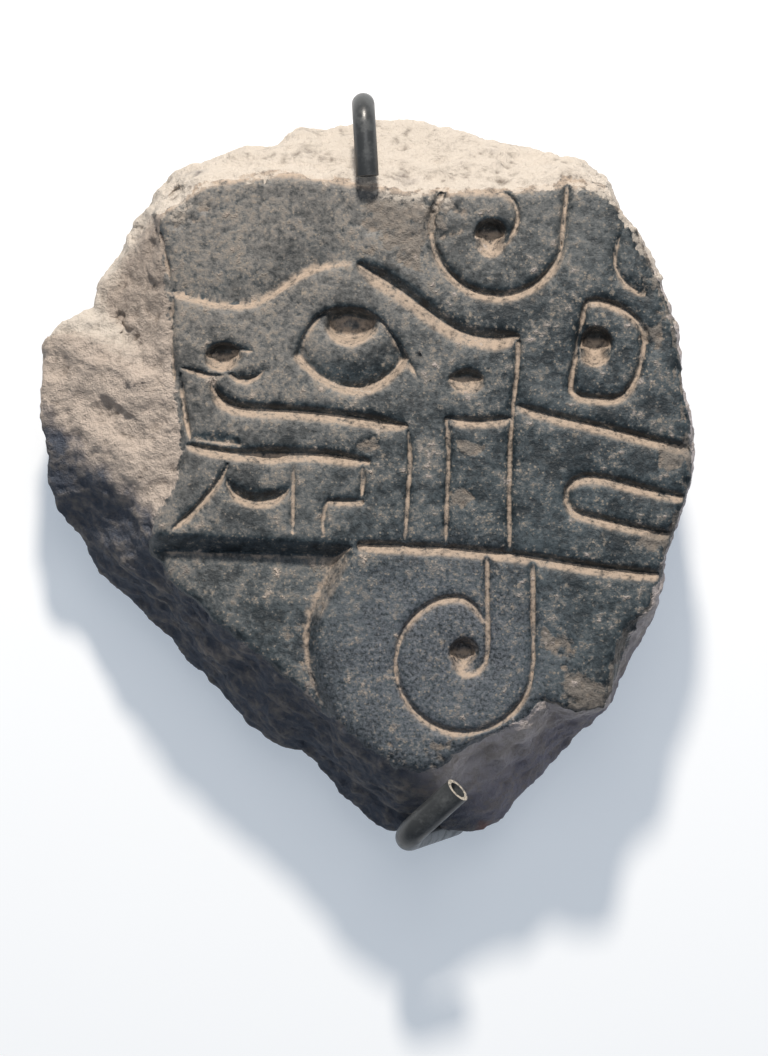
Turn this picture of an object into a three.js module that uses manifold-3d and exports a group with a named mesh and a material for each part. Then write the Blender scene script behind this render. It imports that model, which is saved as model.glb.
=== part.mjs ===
// A fragment of a carved stone slab, with the two bent tubes that hold it up.
// Millimetres. The fragment lies on its back: +Z is out of the carved face, +Y is the top of the carving.
import * as THREE from "three";
import { mergeVertices } from "three/addons/utils/BufferGeometryUtils.js";
import Module from "manifold-3d";

const wasm = await Module();
wasm.setup();

// Driving sizes
const THICKNESS = 70;
const EDGE_WEAR = 1.4;
const EDGE_ROUND = 2.2;
const BACK_INSET = 9;
const ROUGHNESS = 2.2;
const ROUGH_WIDTH = 14;
const RING_GAP = THREE.MathUtils.degToRad(3.6);
const STROKE_STEP = 4;
const STRAIGHT_PARTS = 4;
const TAPER_LENGTH = 7;
const CUT_ABOVE = 1.2;
const PIT_RAISE = 0.25;
const GROUND_DEPTH = 8;
const GROUND_SLOPE = 5.5;
const GROUND_RISE = 0.05;
const GROUND_TOP = -25;
const BROW_DEPTH = 3;
const BROW_EDGE = 1.6;
const BROW_DISH = 12;
const BROW_FADE = 18;
const BROW_PARTS = 18;
const FIELD_TOP = 112;
const EYE_DEPTH = 5.6;
const EYE_SLOPE = 2.4;
const EYEBALL = { across: 20, high: 16, middle: [-7.4, 48], below: 0.2 };
const UPPER_TUBE = { radius: 4, bore: 2.7, bend: 9 };
const LOWER_TUBE = { radius: 4.75, bore: 3.15, bend: 10 };
const TUBE_SIDES = 18;
const TUBE_BENDS = 9;
const TUBE_GAP = 0.35;
const FOOT_SPARE = 8;
const TIP_SPARE = 1;

// Edge of the carved face, counter-clockwise from the right
const FACE_EDGE = [
  [113, 2], [111, 27], [107, 53], [101, 71], [91, 91], [80, 105], [44, 101], [12, 101.5], [-32, 108],
  [-58, 104], [-75, 92], [-71, 66], [-69, 28], [-66, 12], [-69, -1], [-76, -18], [-68, -34], [-47, -50],
  [-27, -68.5], [-4, -92], [8, -100], [22, -102], [36, -91], [50, -86], [60, -77], [72, -82], [84, -80],
  [86, -60], [92, -50], [99, -45], [104, -24], [110, -8],
];

// Widest outline of the fragment, lower down, counter-clockwise from the right
const RIM_EDGE = [
  [112, 2], [110, 27], [106, 52], [100, 70], [90, 90], [84, 107], [75, 115], [50, 119.5], [34, 125],
  [20, 127.5], [-10, 127], [-26, 125.5], [-36, 119], [-46, 119], [-70, 110], [-77, 103], [-84, 90],
  [-95, 71], [-98, 61.5], [-110, 56.5], [-116, 50], [-116, 10], [-112, -11], [-104, -22], [-98, -33],
  [-80, -49], [-61, -69.5], [-48, -85], [-36, -95], [-25, -96.5], [-18, -104], [-10, -114], [4, -124],
  [12, -127], [35, -127], [45, -123], [52, -114], [66, -101], [84, -82], [93.5, -60], [99.5, -50],
  [103, -38], [104, -22], [109, -8],
];

// Height of the widest outline by direction, in degrees from the right
const RIM_HEIGHT = [
  [0, 48], [45, 50], [60, 42], [90, 38], [120, 42], [150, 48], [176, 46], [196, 24], [225, 18], [255, 20],
  [280, 28], [300, 24], [318, 28], [335, 44], [360, 48],
];

/** A manifold solid from a three.js geometry. */
function solid(geometry) {
  const bare = geometry.index ? geometry.toNonIndexed() : geometry.clone();
  bare.deleteAttribute("normal");
  bare.deleteAttribute("uv");
  const welded = mergeVertices(bare, 1e-4);
  const mesh = new wasm.Mesh({
    numProp: 3,
    vertProperties: new Float32Array(welded.attributes.position.array),
    triVerts: new Uint32Array(welded.index.array),
  });
  return new wasm.Manifold(mesh);
}

/** A three.js mesh from a manifold solid. */
function meshOf(name, body, material) {
  const { vertProperties, triVerts } = body.getMesh();
  const geometry = new THREE.BufferGeometry();
  geometry.setAttribute("position", new THREE.BufferAttribute(vertProperties, 3));
  geometry.setIndex(new THREE.BufferAttribute(triVerts, 1));
  geometry.computeVertexNormals();
  const mesh = new THREE.Mesh(geometry, material);
  mesh.name = name;
  return mesh;
}

/** Two triangles for four corners, split along the shorter diagonal. */
function quad(points, a, b, c, d) {
  const short = points[a].distanceTo(points[c]) <= points[b].distanceTo(points[d]);
  return short ? [a, b, c, a, c, d] : [a, b, d, b, c, d];
}

/** A closed surface through rings of points, with a fan from the middle of each end ring. */
function loft(rings) {
  const count = rings[0].length;
  const points = rings.flat();
  const addMiddle = (ring) => {
    const sum = ring.reduce((total, point) => total.add(point), new THREE.Vector3());
    return points.push(sum.divideScalar(count)) - 1;
  };
  const first = addMiddle(rings[0]);
  const last = addMiddle(rings.at(-1));
  const top = (rings.length - 1) * count;
  const index = [];
  for (let i = 0; i < count; i += 1) {
    const next = (i + 1) % count;
    index.push(first, next, i, last, top + i, top + next);
    for (let row = 0; row < top; row += count) {
      index.push(...quad(points, row + i, row + next, row + count + next, row + count + i));
    }
  }
  const geometry = new THREE.BufferGeometry().setFromPoints(points);
  geometry.setIndex(index);
  return geometry;
}

/** A closed run of rings, joined end to end with no caps. */
function loop(rings) {
  const count = rings[0].length;
  const points = rings.flat();
  const index = [];
  rings.forEach((_, r) => {
    const row = r * count;
    const above = ((r + 1) % rings.length) * count;
    for (let i = 0; i < count; i += 1) {
      const next = (i + 1) % count;
      index.push(...quad(points, row + i, row + next, above + next, above + i));
    }
  });
  const geometry = new THREE.BufferGeometry().setFromPoints(points);
  geometry.setIndex(index);
  return geometry;
}

/** Distance from the middle to an outline in one direction. */
function reach(outline, angle) {
  const ray = new THREE.Vector2(Math.cos(angle), Math.sin(angle));
  let far = 0;
  outline.forEach(([ax, ay], i) => {
    const [bx, by] = outline[(i + 1) % outline.length];
    const side = new THREE.Vector2(bx - ax, by - ay);
    const turn = ray.cross(side);
    if (Math.abs(turn) < 1e-9) return;
    const along = (ax * side.y - ay * side.x) / turn;
    const share = (ax * ray.y - ay * ray.x) / turn;
    if (along > 0 && share >= -1e-9 && share <= 1 + 1e-9) far = Math.max(far, along);
  });
  return far;
}

/** Directions of all corners of both outlines, with wide gaps filled. */
function directions() {
  const around = 2 * Math.PI;
  const corners = [...FACE_EDGE, ...RIM_EDGE].map(([x, y]) => (Math.atan2(y, x) + around) % around);
  corners.sort((a, b) => a - b);
  const kept = corners.filter((angle, i) => i === 0 || angle - corners[i - 1] > RING_GAP / 4);
  return kept.flatMap((angle, i) => {
    const end = i + 1 < kept.length ? kept[i + 1] : kept[0] + around;
    const parts = Math.max(1, Math.round((end - angle) / RING_GAP));
    return Array.from({ length: parts }, (_, k) => angle + ((end - angle) * k) / parts);
  });
}

/** Height of the widest outline in one direction. */
function rimHeight(angle) {
  const degrees = THREE.MathUtils.radToDeg(angle) % 360;
  const i = RIM_HEIGHT.findIndex(([limit]) => limit >= degrees);
  const [a, low] = RIM_HEIGHT[Math.max(0, i - 1)];
  const [b, high] = RIM_HEIGHT[Math.max(1, i)];
  return THREE.MathUtils.mapLinear(degrees, a, b, low, high);
}

// Crossed waves of the broken surfaces: share, and turns for each millimetre along x, y and z with an offset
const WAVES = [
  { share: 0.6, first: [0.11, 0.07, 0, 1.3], second: [-0.06, 0.09, 0.08, 0] },
  { share: 0.4, first: [0.31, -0.17, 0.23, 0], second: [0.19, 0.27, -0.21, 0.7] },
];

/** Uneven swell of a broken surface at one place, between -1 and 1. */
function swell(x, y, z) {
  const phase = ([a, b, c, offset]) => a * x + b * y + c * z + offset;
  return WAVES.reduce((sum, { share, first, second }) => (
    sum + share * Math.sin(phase(first)) * Math.cos(phase(second))
  ), 0);
}

/** The fragment before carving: flat back, bulging sides, slanting breaks and a flat face. */
function block() {
  const angles = directions();
  const ring = (place, roughness = 0) => angles.map((angle) => {
    const face = reach(FACE_EDGE, angle);
    const rim = reach(RIM_EDGE, angle);
    const [radius, height] = place(face, rim, rimHeight(angle));
    const x = Math.cos(angle);
    const y = Math.sin(angle);
    const room = Math.min(1, Math.abs(rim - face) / ROUGH_WIDTH);
    const rough = roughness * room * swell(radius * x, radius * y, height);
    return new THREE.Vector3((radius + rough) * x, (radius + rough) * y, height + rough);
  });
  const onBreak = (share) => ring((face, rim, height) => [
    THREE.MathUtils.lerp(rim, face, share),
    THREE.MathUtils.lerp(height, THICKNESS - EDGE_WEAR, share),
  ], ROUGHNESS);
  return loft([
    ring((face, rim) => [rim - BACK_INSET, 0]),
    ring((face, rim, height) => [rim - BACK_INSET / 3, 0.4 * height]),
    ring((face, rim, height) => [rim, height]),
    onBreak(0.25),
    onBreak(0.5),
    onBreak(0.75),
    ring((face) => [face, THICKNESS - EDGE_WEAR]),
    ring((face) => [face - EDGE_ROUND, THICKNESS]),
  ]);
}

/** Points along an arc or an opening or closing spiral, angles in degrees. */
function arc(x, y, fromRadius, toRadius, fromAngle, toAngle, parts) {
  return Array.from({ length: parts + 1 }, (_, i) => {
    const angle = THREE.MathUtils.degToRad(THREE.MathUtils.lerp(fromAngle, toAngle, i / parts));
    const radius = THREE.MathUtils.lerp(fromRadius, toRadius, i / parts);
    return [x + radius * Math.cos(angle), y + radius * Math.sin(angle)];
  });
}

/**
 * Cutter for one carved line on the face. The reach to the left and right of its floor gives the two walls,
 * and each end runs out to the given share of the full size.
 */
function stroke({ path, left, right = left, depth, ends = [0.5, 0.5], closed = false, floor = 0.3 }) {
  const points = path.map(([x, y]) => new THREE.Vector3(x, y, THICKNESS));
  const curve = new THREE.CatmullRomCurve3(points, closed, "centripetal");
  const length = curve.getLength();
  const parts = path.length === 2 ? STRAIGHT_PARTS : Math.ceil(length / STROKE_STEP);
  const shares = Array.from({ length: closed ? parts : parts + 1 }, (_, i) => i / parts);
  const rings = shares.map((share) => {
    const start = ends[0] + ((1 - ends[0]) * share * length) / TAPER_LENGTH;
    const stop = ends[1] + ((1 - ends[1]) * (1 - share) * length) / TAPER_LENGTH;
    const size = closed ? 1 : Math.min(1, start, stop);
    const middle = curve.getPointAt(share);
    const along = curve.getTangentAt(share);
    const place = (across, up) => new THREE.Vector3(
      middle.x - along.y * across,
      middle.y + along.x * across,
      THICKNESS + up,
    );
    const flare = 1 + CUT_ABOVE / (size * depth);
    const base = floor * size;
    return [
      place(base + (left * size - base) * flare, CUT_ABOVE),
      place(-base - (right * size - base) * flare, CUT_ABOVE),
      place(-base, -depth * size),
      place(base, -depth * size),
    ];
  });
  return solid(closed ? loop(rings) : loft(rings));
}

/** Cutter for one round pit with a bowl-shaped floor. */
function pit([x, y], across, high, depth) {
  const bowl = new THREE.SphereGeometry(1, 18, 12);
  bowl.rotateX(Math.PI / 2);
  bowl.translate(0, 0, PIT_RAISE);
  const widen = 1 / Math.sqrt(1 - PIT_RAISE * PIT_RAISE);
  bowl.scale(across * widen, high * widen, depth / (1 - PIT_RAISE));
  bowl.translate(x, y, THICKNESS);
  return solid(bowl);
}

// Lines carved in the face, each from its first end to its last
const STROKES = [
  // Brow, from the crown down to the back of the head
  { path: [[-5, 76], [10, 66.5], [20, 59], [30, 52.5], [40, 49.8], [52, 50.2]],
    left: 3.8, right: 4.2, depth: 4 },
  // Outer corner of the eye
  { path: [[10, 46], [13.5, 40.5], [16.5, 35]], left: 1.4, depth: 2, ends: [1, 0.3] },
  // Nostril, its tail and the wing under it
  { path: [[-53, 46], [-47, 45.8], [-41, 45]], left: 1.5, depth: 2.2, ends: [1, 0.3] },
  { path: [[-50, 37.5], [-46, 35], [-41, 35.6], [-37, 39]], left: 1.7, depth: 2.6, ends: [0.5, 0.3] },
  { path: [[-68, 39.8], [-61, 37.6], [-55, 36.3], [-50, 37]], left: 1.2, depth: 1.7 },
  // Upper lip, from the nostril back to the jaw
  { path: [[-55.5, 36], [-55, 31], [-52, 27.4], [-47, 25.4], [-36, 24.6], [-20, 23.6], [-5, 21.7],
    [13, 18.8]], left: 2.2, right: 2.8, depth: 3.4 },
  // Front of the muzzle
  { path: [[-67, 38], [-65.6, 25], [-63, 12]], left: 1.5, right: 2, depth: 2.6 },
  { path: [[-69.5, 67], [-70.2, 50], [-68.5, 30]], left: 1.5, right: 2.4, depth: 2.8 },
  { path: [[-75.5, 93], [-72.5, 80], [-69.5, 66]], left: 1.4, right: 4.5, depth: 4, ends: [0.3, 0.5] },
  // Mouth, its deeper middle and the front of the lip over it
  { path: [[-65, 12.4], [-54, 10.3], [-45, 9.2], [-36, 8.8], [-26, 9.2], [-14, 8.6], [0, 6.2]],
    left: 2.2, right: 2.6, depth: 3.6 },
  { path: [[-45, 9.4], [-36, 8.9], [-26, 9.4]], left: 2.9, depth: 4.8, floor: 1 },
  { path: [[-63.5, 14.4], [-54, 13.2], [-45.5, 12]], left: 3.6, right: 1.4, depth: 2, ends: [0.5, 0.8] },
  // Fang and tooth
  { path: [[-50, 6.5], [-52.5, 1], [-57, -5], [-63, -11.5], [-70.5, -18]],
    left: 1.6, depth: 2.6, ends: [0.4, 0.4] },
  { path: [[-51.5, 1.5], [-48.5, -4.5], [-43, -7.4], [-37, -7.6], [-31.5, -5.6], [-28, -2.5]],
    left: 4, right: 1.8, depth: 3.8, ends: [0.25, 0.3] },
  // Teeth of the lower jaw
  { path: [[-27.3, 7], [-27.6, -19]], left: 1.4, depth: 1.8 },
  { path: [[-3.4, 7], [-2.8, 0], [-3.8, -8]], left: 1.8, depth: 2.2 },
  { path: [[-2.6, -7.6], [-15.8, -7.4]], left: 1.5, depth: 2.1, ends: [0.9, 0.9] },
  { path: [[-15.2, -7], [-16.8, -12], [-17, -20]], left: 1.5, depth: 1.8, ends: [0.9, 0.5] },
  // Upright bars behind the jaw and the slot between two of them
  { path: [[12.8, 18], [13.6, 8], [13, -2], [11.6, -24]], left: 1.4, depth: 1.9, ends: [0.6, 1] },
  { path: [[26.6, 21], [27, 6], [26.4, -8], [26, -24]], left: 1.5, depth: 2, ends: [1, 1] },
  { path: [[51.4, 49], [51, 38], [49.8, 27], [48.8, 15], [48.3, -5], [48.4, -25.5]],
    left: 1.7, depth: 2.2, ends: [1, 1] },
  { path: [[25.5, 21.6], [36, 20.6], [49.5, 21.6]], left: 1.7, right: 2.3, depth: 2.6, ends: [0.8, 0.9] },
  // Lines running to the right edge
  { path: [[50, 26.4], [60, 23.3], [72, 20.4], [85, 17.4], [97, 14.3], [118, 9.5]],
    left: 2, right: 2.4, depth: 3, ends: [0.6, 1] },
  { path: [[-5, -22.6], [12, -23.2], [26, -23.8], [40, -25.2], [52, -26.3], [65, -28.4], [80, -30.8],
    [107, -33.6]], left: 1.8, right: 2.6, depth: 3.2, ends: [1, 1] },
  // Bar with a round end
  { path: [[116, -7.4], [100, -4.2], [90, -1.8], [82, 0.4], ...arc(75, -5.6, 6.8, 6.8, 85, 240, 4),
    [78, -13.2], [85, -15], [95, -17.2], [111, -20.6]], left: 2.1, depth: 3, ends: [1, 1] },
  // Box with rounded corners
  { path: [[75.5, 62.5], [83, 62], [90, 58.5], [95.2, 52.5], [95, 44], [92, 34.5], [87, 28.8], [79, 28.6],
    [70.5, 30.5], [72, 45], [74, 56]], left: 1.9, depth: 2.8, closed: true },
  // Upper scroll: outer line, inner line and the curl beside it
  { path: [...arc(44.8, 87.8, 24, 22.8, 146, 340, 9), [67, 88], [69, 106]],
    left: 1.9, right: 2.1, depth: 3, ends: [1, 1] },
  { path: [[41, 104], [48.5, 99.5], [51.3, 93.5], [50, 87.5], [46, 82]],
    left: 1.6, depth: 2.4, ends: [1, 0.7] },
  { path: [[87.4, 87], [85.6, 81], [85.6, 75], [88, 70], [92, 66.6], [96, 64.4]],
    left: 1.6, depth: 2, ends: [0.3, 0.4] },
  // Lower scroll: outer line and the inner line that hooks round its pit
  { path: [[56.6, -27], [56.6, -45], ...arc(32.6, -64.4, 24, 24.2, 0, -250, 11),
    ...arc(32.6, -64.4, 22.6, 16, -272, -298, 1)], left: 1.5, right: 1.7, depth: 2.4, ends: [1, 0.8] },
  { path: [[40.6, -26], [40.6, -44], ...arc(33.2, -60.5, 7.4, 7.4, 0, -115, 4)],
    left: 1.5, right: 1.7, depth: 2.4, ends: [1, 0.6] },
];

// Pits: middle, half width, half height and depth
const PITS = [
  [[-53, 43], 6, 5, 4],
  [[33.8, 34.9], 6.6, 4.6, 3.2],
  [[78.5, 48.6], 6.2, 5.6, 5],
  [[78.3, 44.4], 6, 4.6, 3],
  [[42, 86.5], 6.2, 5.2, 4.6],
  [[41.6, 82.6], 5.4, 4.8, 2.8],
  [[32.6, -60], 5.4, 5.2, 5],
  [[33.6, -65.4], 5, 3.8, 2.6],
];

/** Drawn area sunk to one depth, with sloping walls. */
function sunk(shape, depth, slope) {
  const geometry = new THREE.ExtrudeGeometry(shape, {
    depth: 4, bevelEnabled: true, bevelThickness: depth, bevelSize: slope, bevelSegments: 1, curveSegments: 5,
  });
  return geometry.translate(0, 0, THICKNESS);
}

/** Cutter for the ground beside the lower scroll, deepest under the jaw and open to the break below it. */
function ground() {
  const border = [[-14.5, -31], [-18.5, -40], [-22, -50], [-22.5, -60], [-20, -72], [-12, -90]];
  const shape = new THREE.Shape();
  shape.moveTo(-112, -23.5);
  shape.lineTo(-60, -25);
  shape.lineTo(-12.5, -26.6);
  shape.splineThru(border.map(([x, y]) => new THREE.Vector2(x, y)));
  shape.lineTo(-60, -110);
  shape.lineTo(-112, -70);
  const tilt = new THREE.Matrix4().set(
    1, 0, 0, 0,
    0, 1, 0, 0,
    0, -GROUND_RISE, 1, GROUND_TOP * GROUND_RISE,
    0, 0, 0, 1,
  );
  return solid(sunk(shape, GROUND_DEPTH, GROUND_SLOPE).applyMatrix4(tilt));
}

/** Cutter that lets the field over the brow fall towards the brow's edge, fading out at the crown. */
function browField() {
  const edge = [
    [-78, 67], [-66, 64.6], [-57, 62], [-48, 61], [-40, 62.2], [-32, 66.8], [-22, 73], [-12, 75.6], [-2, 75],
  ];
  const points = edge.map(([x, y]) => new THREE.Vector3(x, y, THICKNESS));
  const curve = new THREE.CatmullRomCurve3(points, false, "centripetal");
  const crown = points.at(-1).x;
  const rings = curve.getSpacedPoints(BROW_PARTS).map(({ x, y }) => {
    const depth = BROW_DEPTH * THREE.MathUtils.clamp((crown - x) / BROW_FADE, 0.03, 1);
    const section = [
      [y - BROW_EDGE, 2], [y, -depth], [y + BROW_DISH, -0.5 * depth], [FIELD_TOP, 0.4], [FIELD_TOP, 2],
    ];
    return section.map(([across, up]) => new THREE.Vector3(x, across, THICKNESS + up));
  });
  return solid(loft(rings));
}

/** Cutter for the almond of the eye, leaving a swelling eyeball with a half-round pupil. */
function eye() {
  const corner = [-25.2, 43.6];
  const lowerLid = [[-16.6, 36.2], [-6, 32.2], [3.6, 35], [11.2, 42.6]];
  const upperLid = [[6.2, 50], [0.6, 55.8], [-9, 58.4], [-17.4, 56.4], [-22.4, 50], corner];
  const shape = new THREE.Shape();
  shape.moveTo(...corner);
  shape.splineThru(lowerLid.map(([x, y]) => new THREE.Vector2(x, y)));
  shape.splineThru(upperLid.map(([x, y]) => new THREE.Vector2(x, y)));
  const almond = solid(sunk(shape, EYE_DEPTH, EYE_SLOPE));
  const ball = new THREE.SphereGeometry(1, 24, 14);
  ball.rotateX(Math.PI / 2);
  const swelling = EYE_DEPTH + 1;
  ball.scale(EYEBALL.across, EYEBALL.high, swelling);
  ball.translate(...EYEBALL.middle, THICKNESS - EYEBALL.below - swelling);
  const pupil = pit([-7.6, 56], 9.8, 9.2, 7).intersect(almond);
  return almond.subtract(solid(ball)).add(pupil);
}

/** A solid bent bar through three corners, with a bend in place of the middle one. */
function bar(corners, radius, bend) {
  const [foot, corner, tip] = corners;
  const back = foot.clone().sub(corner).normalize();
  const ahead = tip.clone().sub(corner).normalize();
  const half = back.angleTo(ahead) / 2;
  const trim = bend / Math.tan(half);
  const start = corner.clone().addScaledVector(back, trim);
  const centre = corner.clone().addScaledVector(back.clone().add(ahead).normalize(), bend / Math.sin(half));
  const axis = new THREE.Vector3().crossVectors(back, ahead).normalize();
  const turn = Math.PI - 2 * half;
  const stations = [[foot, 0]];
  for (let i = 0; i <= TUBE_BENDS; i += 1) {
    const angle = (-turn * i) / TUBE_BENDS;
    stations.push([start.clone().sub(centre).applyAxisAngle(axis, angle).add(centre), angle]);
  }
  stations.push([tip, -turn]);
  const rings = stations.map(([middle, angle]) => {
    const along = back.clone().negate().applyAxisAngle(axis, angle);
    const side = new THREE.Vector3().crossVectors(along, axis);
    return Array.from({ length: TUBE_SIDES }, (_, i) => {
      const around = (2 * Math.PI * i) / TUBE_SIDES;
      return middle.clone()
        .addScaledVector(axis, radius * Math.cos(around))
        .addScaledVector(side, radius * Math.sin(around));
    });
  });
  return solid(loft(rings));
}

/** A hollow hook, its foot cut flat on the ground plane, and the room it needs beside the stone. */
function hook(corners, { radius, bore, bend }) {
  const [foot, corner, tip] = corners.map((point) => new THREE.Vector3(...point));
  const low = foot.clone().addScaledVector(foot.clone().sub(corner).normalize(), FOOT_SPARE);
  const past = tip.clone().addScaledVector(tip.clone().sub(corner).normalize(), TIP_SPARE);
  const hollow = bar([low, corner, tip], radius, bend).subtract(bar([low, corner, past], bore, bend));
  return {
    body: hollow.trimByPlane([0, 0, 1], 0),
    room: bar([low, corner, past], radius + TUBE_GAP, bend),
  };
}

const upper = hook([[-2.9, 131.9, 0], [-2.9, 131.9, 74.6], [-1.4, 106, 74.6]], UPPER_TUBE);
const lower = hook([[29.5, -124.6, 0], [11, -126.8, 57.5], [30.3, -108.6, 67.5]], LOWER_TUBE);

const cutters = [
  ...STROKES.map(stroke),
  ...PITS.map((values) => pit(...values)),
  ground(), browField(), eye(), upper.room, lower.room,
];
const stone = solid(block()).subtract(wasm.Manifold.union(cutters)).simplify(0.02);

const darkStone = new THREE.MeshStandardMaterial({ color: 0x5c5f64, roughness: 0.85, metalness: 0 });
const darkPaint = new THREE.MeshStandardMaterial({ color: 0x34383b, roughness: 0.4, metalness: 0.1 });

const group = new THREE.Group();
group.add(
  meshOf("stone_slab", stone, darkStone),
  meshOf("upper_hook", upper.body, darkPaint),
  meshOf("lower_hook", lower.body, darkPaint),
);

// The part's own middle goes over the origin, with its back on the ground plane
const box = new THREE.Box3().setFromObject(group);
const middle = box.getCenter(new THREE.Vector3());
group.position.set(-middle.x, -middle.y, -box.min.z);

export default group;
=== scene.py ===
"""A broken slab of dark carved stone lying face up, with the bent tubes that hold it."""
import math

import bpy
import numpy as np
from bpy.props import FloatProperty, FloatVectorProperty, IntProperty, PointerProperty
from bpy.types import Operator, Panel, PropertyGroup
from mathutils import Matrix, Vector, noise
from mathutils.bvhtree import BVHTree


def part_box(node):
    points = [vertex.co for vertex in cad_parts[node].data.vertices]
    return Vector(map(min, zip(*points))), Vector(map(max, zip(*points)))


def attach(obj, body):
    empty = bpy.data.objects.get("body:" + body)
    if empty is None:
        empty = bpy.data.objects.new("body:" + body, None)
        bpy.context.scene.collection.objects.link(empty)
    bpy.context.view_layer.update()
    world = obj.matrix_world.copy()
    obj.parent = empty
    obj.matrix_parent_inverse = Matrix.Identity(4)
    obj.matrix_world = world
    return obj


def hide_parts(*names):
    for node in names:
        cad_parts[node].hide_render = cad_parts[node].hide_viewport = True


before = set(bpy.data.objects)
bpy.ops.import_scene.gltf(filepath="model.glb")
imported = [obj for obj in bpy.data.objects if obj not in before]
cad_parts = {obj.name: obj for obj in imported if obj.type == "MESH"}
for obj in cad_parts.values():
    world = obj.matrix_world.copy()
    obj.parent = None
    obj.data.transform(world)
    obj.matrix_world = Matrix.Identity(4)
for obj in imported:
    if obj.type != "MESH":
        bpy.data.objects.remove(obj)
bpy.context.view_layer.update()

bl_info = {
    "name": "Carved Slab Fragment",
    "version": (1, 0, 0),
    "blender": (4, 5, 0),
    "location": "View3D > Sidebar > Carved Slab",
    "description": "Dresses a broken, carved stone slab and the bent tubes that hold it",
    "category": "Object",
}

BODY = "root"
STONE_LOW, STONE_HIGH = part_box("stone_slab")
FACE_TOP = STONE_HIGH.z

# The carving is measured from its own middle, set in from the stone's left and lower limits
CARVING_MIDDLE = Vector((STONE_LOW.x + 0.116, STONE_LOW.y + 0.127, 0.0))

# The photograph's frame in pixels, what one pixel spans on the carved face, and its middle there
FRAME_HEIGHT = 1056
PIXEL = 0.00035
VIEW_MIDDLE = CARVING_MIDDLE + Vector((0.0044, -0.0168, 0.0))

# Outline of the carved face, counter-clockwise from the right
FACE_OUTLINE = [
    (0.112, 0.002), (0.106, 0.053), (0.090, 0.090), (0.079, 0.104), (0.044, 0.100), (0.012, 0.1005),
    (-0.032, 0.107), (-0.058, 0.103), (-0.073, 0.090), (-0.0685, 0.067), (-0.069, 0.048), (-0.0665, 0.028),
    (-0.0635, 0.012), (-0.067, -0.001), (-0.075, -0.018), (-0.067, -0.034), (-0.027, -0.068), (0.008, -0.099),
    (0.022, -0.101), (0.036, -0.090), (0.060, -0.076), (0.072, -0.081), (0.083, -0.079), (0.091, -0.050),
    (0.103, -0.024),
]

# Places on the face where the skin is broken: middle, half width, half height and strength
WORN_PLACES = [
    ((0.012, 0.092), (0.020, 0.011), 1.0),
    ((0.010, 0.080), (0.016, 0.008), 0.6),
    ((-0.066, 0.096), (0.008, 0.012), 0.7),
    ((0.098, -0.022), (0.006, 0.004), 1.0),
    ((0.106, 0.006), (0.006, 0.006), 0.9),
    ((0.100, 0.052), (0.006, 0.010), 0.7),
    ((0.097, 0.068), (0.007, 0.008), 0.5),
    ((0.074, -0.074), (0.013, 0.008), 1.0),
    ((0.066, -0.060), (0.010, 0.010), 0.5),
    ((-0.026, -0.058), (0.009, 0.016), 0.45),
    ((-0.020, -0.038), (0.009, 0.008), 0.45),
    ((-0.001, 0.012), (0.004, 0.003), 0.9),
    ((0.035, 0.012), (0.006, 0.004), 0.8),
    ((0.031, -0.006), (0.006, 0.004), 0.8),
    ((0.020, -0.095), (0.016, 0.008), 0.5),
]
RUST_PLACE = (0.040, -0.123, 0.028)

# Deeper pits and holes: middle, half width and height, depth, and the share of the lower half that is as deep
DEEP_PLACES = [
    ((-0.0066, 0.0545), (0.0100, 0.0062), 0.0032, 0.65),
    ((-0.0516, 0.0430), (0.0068, 0.0054), 0.0030, 0.15),
    ((0.0415, 0.0851), (0.0060, 0.0068), 0.0036, 0.15),
    ((0.0786, 0.0467), (0.0062, 0.0076), 0.0036, 0.15),
    ((0.0317, -0.0616), (0.0052, 0.0062), 0.0034, 0.15),
    ((0.0328, 0.0350), (0.0068, 0.0036), 0.0020, 0.15),
    ((-0.0888, 0.0568), (0.0030, 0.0042), 0.0026, 0.40),
    ((-0.0868, 0.0520), (0.0024, 0.0040), 0.0024, 0.40),
    ((-0.0685, 0.1005), (0.0036, 0.0040), 0.0026, 0.40),
    ((-0.0830, 0.0870), (0.0036, 0.0044), 0.0030, 0.40),
]

# Share of the upper half of each of them that is as deep
UPPER_FLOOR = 0.65

# The tan film lightens the face towards the upper left, by this much for each metre: partly dust, partly
# painted light falling off away from the top
FILM_AND_FALLOFF_SLOPE = (-4.2, 4.4, 0.0)

# A painted blue grey sheen, standing in for a glancing reflection, lies round the lower scroll: its middle
# and its reach
SHEEN_PLACE = (0.022, -0.066)
SHEEN_REACH = 0.060

# The dark break starts below a line through this place, which falls to the right by these degrees
DARK_START = (-0.118, 0.024)
DARK_TURN = 41.0
DARK_BLUR = 0.009

# How far the carving reaches under the top of the face
CARVING_DEPTH = 0.012

# Distances from the carved side, and heights over the back, between which the breaks set in
BREAK_DISTANCE = (0.0012, 0.0048)
BREAK_HEIGHT = (0.0005, 0.006)

# Limits between which the top break, the right break, its upper band of painted light and the shaded left
# break set in
TOP_FACING = (0.2, 0.45)
RIGHT_DIAGONAL = (-0.095, -0.070)
RIGHT_START = (0.0, 0.02)
PAINTED_LIGHT_BAND = (FACE_TOP - 0.032, FACE_TOP - 0.010)
SHADED_START = (0.035, 0.070)

# Limits between which the chipped right and top edges, the turned rim and the skin of the face set in
CHIPPED_RIGHT = (0.03, 0.06)
CHIPPED_TOP = (0.07, 0.09)
LEVEL_FACING = (0.72, 0.985)
SKIN_HEIGHT = (FACE_TOP - 0.014, FACE_TOP - 0.011)
CHIP_LUMP = 0.006
RIM_START = (0.06, 0.09)
RIM_FACING = (0.04, 0.25)

# How far the specks are warped, in grains, and where each speck fades out and is full
SPECK_WARP = 1.2
SPECK_EDGE = (0.5, 0.2)

# Vertices nearer than this are joined
WELD = 1e-6

# Width of the floor, how far it lies under the stone, and the nearest thing that the camera sees
FLOOR_WIDTH = 12.0
FLOOR_DROP = 0.0002
CLIP_START = 0.05

# Where the soft panel hangs
PANEL_SPOT = Vector((0.1, 0.4, 1.2))

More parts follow.
